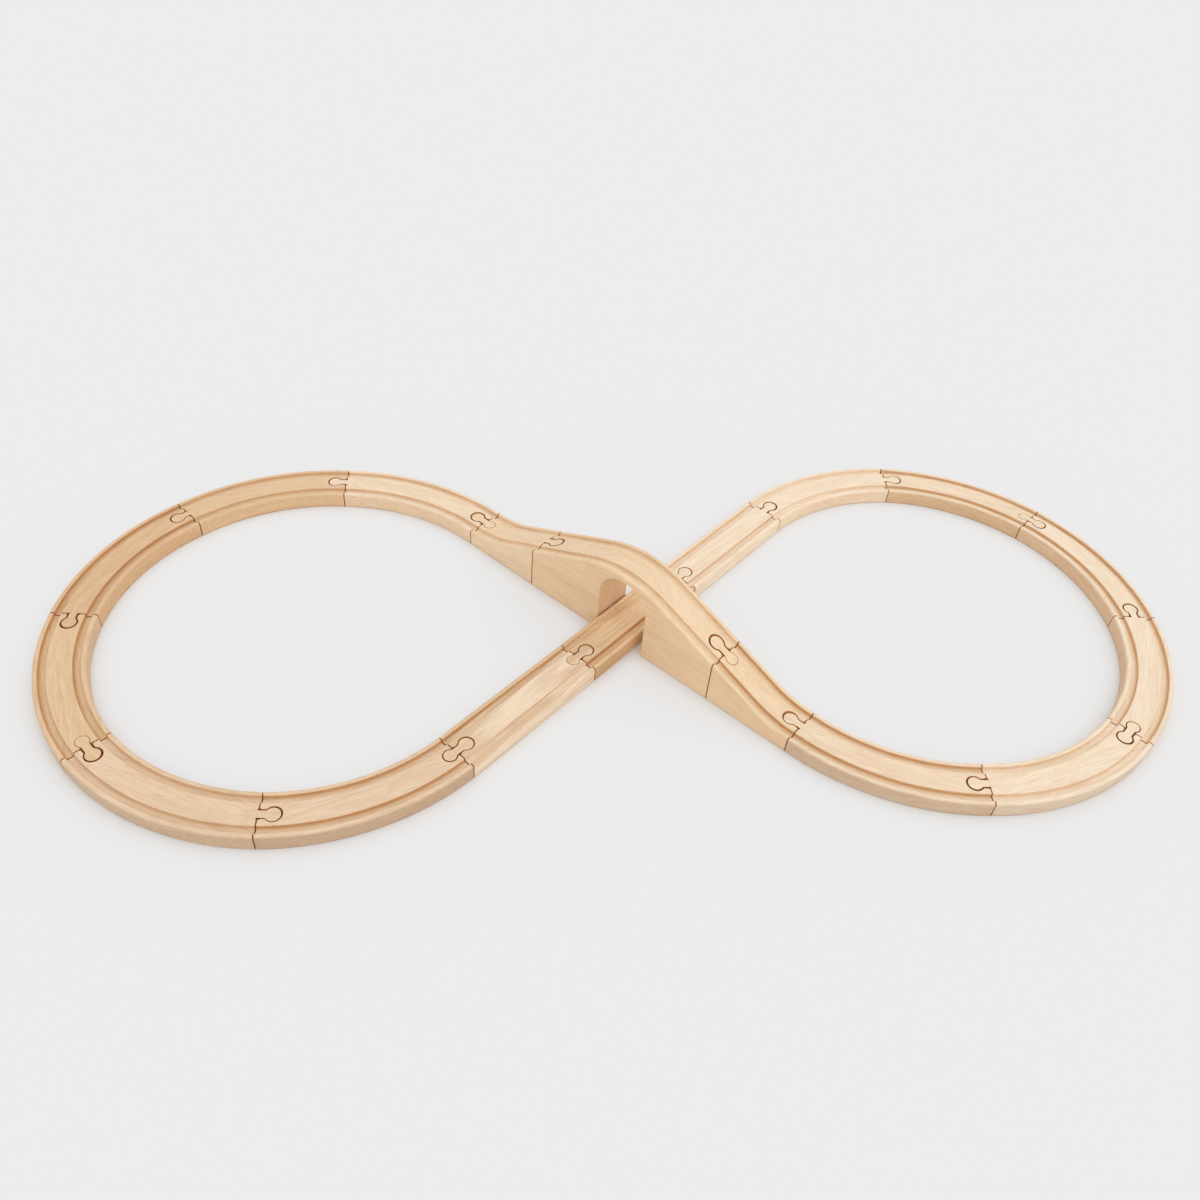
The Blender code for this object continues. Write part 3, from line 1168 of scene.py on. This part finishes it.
@dataclass
class Joint:
    """A joint of the ring: its peg, who holds it, and who has the socket for its running head."""

    name: str
    owner: Track
    owner_pose: Pose
    neighbour: Track
    neighbour_pose: Pose
    raised: bool

    @property
    def glue_line(self) -> float:
        """The gap that shows round the glued half."""
        return GLUE_LINES.get(self.name, GlueLine.SHUT).value

    @property
    def board(self) -> Board:
        """The board that the peg is cut from, for most the same as its owner's."""
        return PEG_BOARDS.get(self.name, self.owner.board)

    @property
    def fit(self) -> float:
        """What the socket adds to the play."""
        return FITS.get(self.name, Fit.EASY).value

    def top(self, x: float) -> float:
        """Height of the peg's top: sanded flush where it is glued, a little lower on the running head.

        Args:
            x: Distance from the joint, towards the running head.

        Returns:
            The height above the floor.
        """
        deck = self.owner.deck((self.owner_pose.matrix() @ Vector((x, 0.0, 0.0))).x)
        if x <= 0.0:
            return deck
        return (deck if self.raised else SECTION.thickness) - PEG.recess

    def floor(self) -> float:
        """Height of the peg's underside."""
        return self.top(0.0) - PEG.raised_height if self.raised else PEG.floor_gap

    def hole(
        self, name: str, track: Track, pose: Pose, plan: Plan, gap: float, rim: float
    ) -> bpy.types.Object:
        """A cutter that widens where it leaves the deck, to ease the hole's rim.

        Args:
            name: Name of the cutter.
            track: The track that has the hole.
            pose: The joint in the track's frame.
            plan: Draws the hole about the joint with a gap round what it holds.
            gap: The gap below the rim.
            rim: Width of the eased rim.

        Returns:
            The cutter, in the track's frame.
        """
        bottom = self.floor() - PEG.floor_gap if self.raised else -OVERSHOOT
        matrix = pose.matrix()
        rings = [[matrix @ Vector((x, y, bottom)) for x, y in plan(gap)]]
        for out, up in PEG.hole_rings:
            drawn = [matrix @ Vector((x, y, 0.0)) for x, y in plan(gap + out * rim)]
            rings.append([Vector((point.x, point.y, track.deck(point.x) + up * rim)) for point in drawn])
        return loft(f"{self.name}_{name}", rings, PEG.hole_tones_and_shade)

    def holes(self, track: Track, play: float) -> list[bpy.types.Object]:
        """The cutters for one side of the joint.

        Args:
            track: The owner, for the pocket and a notch at the neck, or the neighbour, for the socket.
            play: Gap round a running head.

        Returns:
            The cutters, in the track's frame.
        """
        if track is self.neighbour:
            return [self.hole("socket", track, self.neighbour_pose, PEG.socket, play + self.fit, PEG.rim)]
        gap = self.glue_line
        return [
            self.hole("pocket", track, self.owner_pose, PEG.pocket, gap, min(gap, PEG.rim)),
            self.hole("notch", track, self.owner_pose, PEG.notch, 0.0, PEG.rim),
        ]

    def build(self, place: Pose) -> bpy.types.Object:
        """Models the peg.

        Args:
            place: The owner's start joint in the world.

        Returns:
            The finished object.
        """
        plan = PEG.peg()
        bottom = [Vector((x, y, self.floor())) for x, y in plan]
        top = [Vector((x, y, self.top(x))) for x, y in plan]
        shoulder = [point - Vector((0.0, 0.0, PEG.shade_rims * PEG.rim)) for point in top]
        # End-grain tone on the peg's lower sides and painted shade on its upper sides
        made = loft(f"{self.name}_wood", [bottom, shoulder, top], (END_GRAIN, SEAM_SHADE))
        bm = bmesh.new()
        bm.from_mesh(made.data)
        lid = max(caps_of(bm), key=lambda cap: cap.calc_center_median().z)
        layer = bm.faces.layers.float[FACE_TONE_AND_SHADE]
        running = [edge for edge in lid.edges if max(vert.co.x for vert in edge.verts) > 0.0]
        lower = {face for face in bm.faces if face[layer] < SEAM_SHADE}
        bevel(bm, running, PEG.rim, PEG.rim_steps, Rounded.EDGES)
        bm.normal_update()
        # Painted shade on the upright faces near the top, and painted highlight on the running head's rounded
        # rim
        for face in set(bm.faces) - lower:
            face[layer] = SEAM_SHADE if abs(face.normal.z) < math.sin(SHARP_ANGLE) else RIM_HIGHLIGHT
        lid = max(bm.faces, key=lambda face: face.calc_area() * face.normal.z)
        lid[layer] = 0.0
        bm.to_mesh(made.data)
        bm.free()
        plain = [0.0] * len(made.data.vertices)
        mark(made, plain, plain)
        made.data.transform(place.then(self.owner_pose).matrix())
        smooth(made)
        return made


@dataclass
class Layout:
    """The closed ring of tracks: its pieces in order, where each one starts, and the play in the joints."""

    curves_per_loop: int = 6
    seam_gap: float = 0.0005
    socket_play: float = 0.0007
    closing_rounds: int = 8

    def __post_init__(self) -> None:
        """Lays the ring."""
        self.tracks = self.ring()
        self.swivels = self.closing_swivels()
        self.setback = self.seam_gap / 2
        self.play = self.socket_play + max(abs(self.swivels)) * PEG.running_reach
        self.starts = self.placed(self.laid(self.swivels))

    def loop(self, name: str, turn: Turn, slot: str, woods: Sequence[Wood]) -> list[Track]:
        """The curves of one loop, in the order they are laid."""
        return [CurvedTrack(f"{name}_{i + 1}", slot, *wood, turn=turn) for i, wood in enumerate(woods)]

    def ring(self) -> list[Track]:
        """Every track in the order a train meets it."""
        # Each piece's board, the painted shade on its sides and the painted shade on its groove walls
        right_woods = [
            (Board.PALE, SideShade.WARM, GrooveShade.PALE),
            (Board.CREAM, SideShade.GOLDEN, GrooveShade.DEEP),
            (Board.PALE, SideShade.GOLDEN, GrooveShade.FULL),
            (Board.PALE, SideShade.GOLDEN, GrooveShade.OUTER),
            (Board.PALE, SideShade.DULL, GrooveShade.SOFT_INNER),
            (Board.CREAM, SideShade.DUSKY, GrooveShade.FULL),
        ]
        left_woods = [
            (Board.CREAM, SideShade.WARM, GrooveShade.LIGHT),
            (Board.AMBER, SideShade.WARM, GrooveShade.SOFT),
            (Board.TAWNY, SideShade.WARM, GrooveShade.DEEP),
            (Board.AMBER, SideShade.MELLOW, GrooveShade.OUTER),
            (Board.HONEY, SideShade.DULL, GrooveShade.SOFT_INNER),
            (Board.HONEY, SideShade.DUSKY, GrooveShade.INNER),
        ]
        straight_woods = {
            "near": (Board.FIGURED, SideShade.CLEAR, GrooveShade.LEFT),
            "centre": (Board.STRIPED, SideShade.GOLDEN, GrooveShade.RIGHT),
            "far": (Board.PALE, SideShade.CLEAR, GrooveShade.LIGHT),
        }
        ramp, arch = BRIDGE.ramp_length, BRIDGE.arch_length
        near_wood = (Board.STRAW, SideShade.WARM, GrooveShade.FULL)
        arch_wood = (Board.STRAW, SideShade.WARM, GrooveShade.SOFT)
        far_wood = (Board.STRAW, SideShade.CLEAR, GrooveShade.PALE)
        straights = [
            Track(f"straight_{where}", "beech_straight", *wood) for where, wood in straight_woods.items()
        ]
        bridge = [
            BridgeBlock("ramp_near", "beech_bridge", *near_wood, ramp),
            BridgeBlock("bridge_arch", "beech_bridge", *arch_wood, arch, bridge_start=ramp),
            BridgeBlock("ramp_far", "beech_bridge", *far_wood, ramp, bridge_start=ramp + arch),
        ]
        return [
            *straights,
            *self.loop("curve_right", Turn.RIGHT, "beech_right", right_woods),
            *bridge,
            *self.loop("curve_left", Turn.LEFT, "beech_left", left_woods),
        ]

    def laid(self, swivels: np.ndarray) -> list[Pose]:
        """The pose where each track starts, from the first one's, and last where the ring comes back to."""
        starts = [ORIGIN]
        for track, swivel in zip(self.tracks, swivels):
            end = starts[-1].then(track.end())
            starts.append(end._replace(heading=end.heading + swivel))
        return starts

    def closing_swivels(self) -> np.ndarray:
        """The least turns in the joints, by sum of squares, that bring the ring's end back to its start."""
        swivels = np.zeros(len(self.tracks))
        for _ in range(self.closing_rounds):
            joints = self.laid(swivels)[1:]
            end = joints[-1]
            moves = np.array([(joint.y - end.y, end.x - joint.x, 1.0) for joint in joints]).T
            swivels = moves.T @ np.linalg.solve(moves @ moves.T, moves @ swivels - np.array(end))
        return swivels

    def turns(self, number: int) -> tuple[float, float]:
        """How far the start and the far end of a track are turned: half the swivel of the joint there."""
        return -self.swivels[number - 1] / 2, self.swivels[number] / 2

    def number(self, name: str) -> int:
        """A track's place in the ring."""
        return [track.name for track in self.tracks].index(name)

    def placed(self, starts: list[Pose]) -> list[Pose]:
        """The starts in the world: the crossing is the origin, and the loops lie along X."""
        centre = self.number("straight_centre")
        crossing = starts[centre].then(Pose(self.tracks[centre].length / 2, 0.0, 0.0))
        outermost = starts[self.number(self.middle_right()) + 1]
        turn = math.atan2(outermost.y - crossing.y, outermost.x - crossing.x)
        corner = Pose(0.0, 0.0, -turn).then(Pose(-crossing.x, -crossing.y, 0.0))
        return [corner.then(start) for start in starts]

    def middle_right(self) -> str:
        """The track before the outermost joint of the right loop."""
        return f"curve_right_{self.curves_per_loop // 2}"

    def open_tunnel(self) -> None:
        """Makes the arch's tunnel as wide as the track that crosses under it at an angle needs."""
        arch, under = self.number("bridge_arch"), self.number("straight_centre")
        crossing = self.starts[arch].heading - self.starts[under].heading
        half = SECTION.width / 2
        reach = half / abs(math.sin(crossing)) + half / abs(math.tan(crossing))
        self.tracks[arch].tunnel_half = reach + BRIDGE.tunnel_clearance

    def joints(self) -> list[Joint]:
        """Every joint of the ring. Each track holds the peg at its far end, but for two that hold none."""
        turned = ("bridge_arch", self.middle_right())
        made = []
        for track, after in zip(self.tracks, self.tracks[1:] + self.tracks[:1]):
            raised = isinstance(track, BridgeBlock) and isinstance(after, BridgeBlock)
            if track.name in turned:
                socket = track.end().then(ABOUT_TURN)
                made.append(Joint(f"peg_{after.name}_back", after, ABOUT_TURN, track, socket, raised))
            else:
                made.append(Joint(f"peg_{track.name}", track, track.end(), after, ORIGIN, raised))
        return made


@dataclass(frozen=True)
class SoftBox:
    """A broad soft light: the way to it, its light on a surface that faces it, and how wide it looks."""

    name: str
    toward: tuple[float, float, float]
    level: float
    width: float

    def light(self) -> None:
        """Hangs the lamp. A surface that faces it shows its own colour times the level."""
        lamp = bpy.data.lights.new(self.name, "SUN")
        lamp.energy = self.level * math.pi
        lamp.angle = self.width
        made = bpy.data.objects.new(self.name, lamp)
        made.rotation_euler = Vector(self.toward).to_track_quat("Z", "Y").to_euler()
        bpy.context.scene.collection.objects.link(made)


@dataclass(frozen=True)
class Studio:
    """A pale floor, even light from all round, three broad soft lights, and the camera."""

    floor_size: float = 12.0
    floor_tone: Colour = (0.82, 0.82, 0.82)
    shadow_share: float = 0.40
    shadow_reach: float = 0.02
    shadow_range: tuple[float, float] = (0.35, 0.95)
    backdrop: Colour = (0.846, 0.845, 0.846)
    ambient: float = 0.78
    lamps: tuple[SoftBox, ...] = (
        SoftBox("high_light", (0.50, 0.45, 1.0), 0.16, math.radians(100)),
        SoftBox("right_light", (1.0, -0.50, 0.50), 0.14, math.radians(80)),
        SoftBox("left_light", (-0.50, -1.0, 0.50), 0.14, math.radians(80)),
    )
    camera_at: tuple[float, float, float] = (-0.116354, -0.655579, 0.660118)
    camera_to: tuple[float, float, float] = (-0.023347, 0.034890, 0.0)
    camera_roll: float = math.radians(5.554)
    lens: float = 31.519
    sensor: float = 36.0

    def seen(self, graph: Graph) -> Signal:
        """1 on rays from the camera, also by way of a reflection, and 0 on those that light the object."""
        rays = ("Is Camera Ray", "Is Glossy Ray", "Is Transmission Ray")
        return graph.math("MINIMUM", sum(graph.node("ShaderNodeLightPath", {}, ray) for ray in rays), 1.0)

    def floor(self) -> bpy.types.Object:
        """Lays the floor, which shows the near shadows in full and the shadow share of the broad ones."""
        bm = bmesh.new()
        bmesh.ops.create_grid(bm, x_segments=1, y_segments=1, size=self.floor_size / 2)
        made = link_mesh("floor", bm)
        material = bpy.data.materials.new("floor")
        material.use_nodes = True
        graph = Graph(material.node_tree)
        lit = graph.node("ShaderNodeBsdfDiffuse", {"Color": (*self.floor_tone, 1.0)})
        plain = graph.node("ShaderNodeEmission", {"Color": (*self.backdrop, 1.0), "Strength": 1.0})
        near = graph.node("ShaderNodeAmbientOcclusion", {"Distance": self.shadow_reach}, "AO")
        clear = graph.ramp(near, *self.shadow_range)
        veil = self.seen(graph) * clear * (1.0 - self.shadow_share)
        shader = graph.node("ShaderNodeMixShader", {0: veil, 1: lit, 2: plain})
        graph.node("ShaderNodeOutputMaterial", {"Surface": shader})
        made.data.materials.append(material)
        return made

    def light(self) -> None:
        """Sets the world's light and hangs the lamps."""
        world = bpy.data.worlds.new("studio")
        world.use_nodes = True
        bpy.context.scene.world = world
        graph = Graph(world.node_tree)
        around = graph.node("ShaderNodeBackground", {"Color": (1.0, 1.0, 1.0, 1.0), "Strength": self.ambient})
        behind = graph.node("ShaderNodeBackground", {"Color": (*self.backdrop, 1.0), "Strength": 1.0})
        mixed = graph.node("ShaderNodeMixShader", {0: self.seen(graph), 1: around, 2: behind})
        graph.node("ShaderNodeOutputWorld", {"Surface": mixed})
        for lamp in self.lamps:
            lamp.light()

    def camera(self) -> None:
        """Stands the camera where the photograph was taken from."""
        data = bpy.data.cameras.new("camera")
        data.sensor_width = self.sensor
        data.lens = self.lens
        made = bpy.data.objects.new("camera", data)
        ahead = (Vector(self.camera_to) - Vector(self.camera_at)).normalized()
        right = ahead.cross(Vector((0.0, 0.0, 1.0))).normalized()
        level = Matrix((right, right.cross(ahead), -ahead)).transposed()
        turned = level @ Matrix.Rotation(self.camera_roll, 3, "Z")
        made.matrix_world = Matrix.Translation(self.camera_at) @ turned.to_4x4()
        bpy.context.scene.collection.objects.link(made)
        bpy.context.scene.camera = made


def dress(
    made: bpy.types.Object, node: str, track: Track, board: Board, heading: float
) -> None:
    """Gives a piece its beech and ties it to the frame.

    Args:
        made: The piece.
        node: The solid it stands for.
        track: The track that it is, or that holds it.
        board: The board that it is cut from.
        heading: The way its fibres run.
    """
    low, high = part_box(node)
    grain = Grain.drawn(node, (low + high) / 2, heading, track.grain_slope())
    made.data.materials.clear()
    made.data.materials.append(board.value.material(f"{node}_beech", grain, track.flank))
    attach(made, track.name)
    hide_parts(node)
    log.info("%s: %d faces, rides with %s", made.name, len(made.data.polygons), track.name)


def main() -> None:
    """Builds the track around the frame, and the studio."""
    logging.basicConfig(level=logging.INFO, format="%(message)s")
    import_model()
    bpy.context.scene.view_settings.view_transform = "Standard"
    studio = Studio()
    studio.camera()
    studio.light()
    studio.floor()
    layout = Layout()
    layout.open_tunnel()
    joints = layout.joints()
    for number, (track, start) in enumerate(zip(layout.tracks, layout.starts)):
        meeting = [joint for joint in joints if track in (joint.owner, joint.neighbour)]
        holes = [cutter for joint in meeting for cutter in joint.holes(track, layout.play)]
        made = track.build(layout.setback, layout.turns(number), holes, start)
        heading = start.heading + track.grain_heading()
        dress(made, track.name, track, track.board, heading)
    for joint in joints:
        start = layout.starts[layout.number(joint.owner.name)]
        made = joint.build(start)
        heading = start.heading + joint.owner_pose.heading
        dress(made, joint.name, joint.owner, joint.board, heading)


if __name__ == "__main__":
    main()
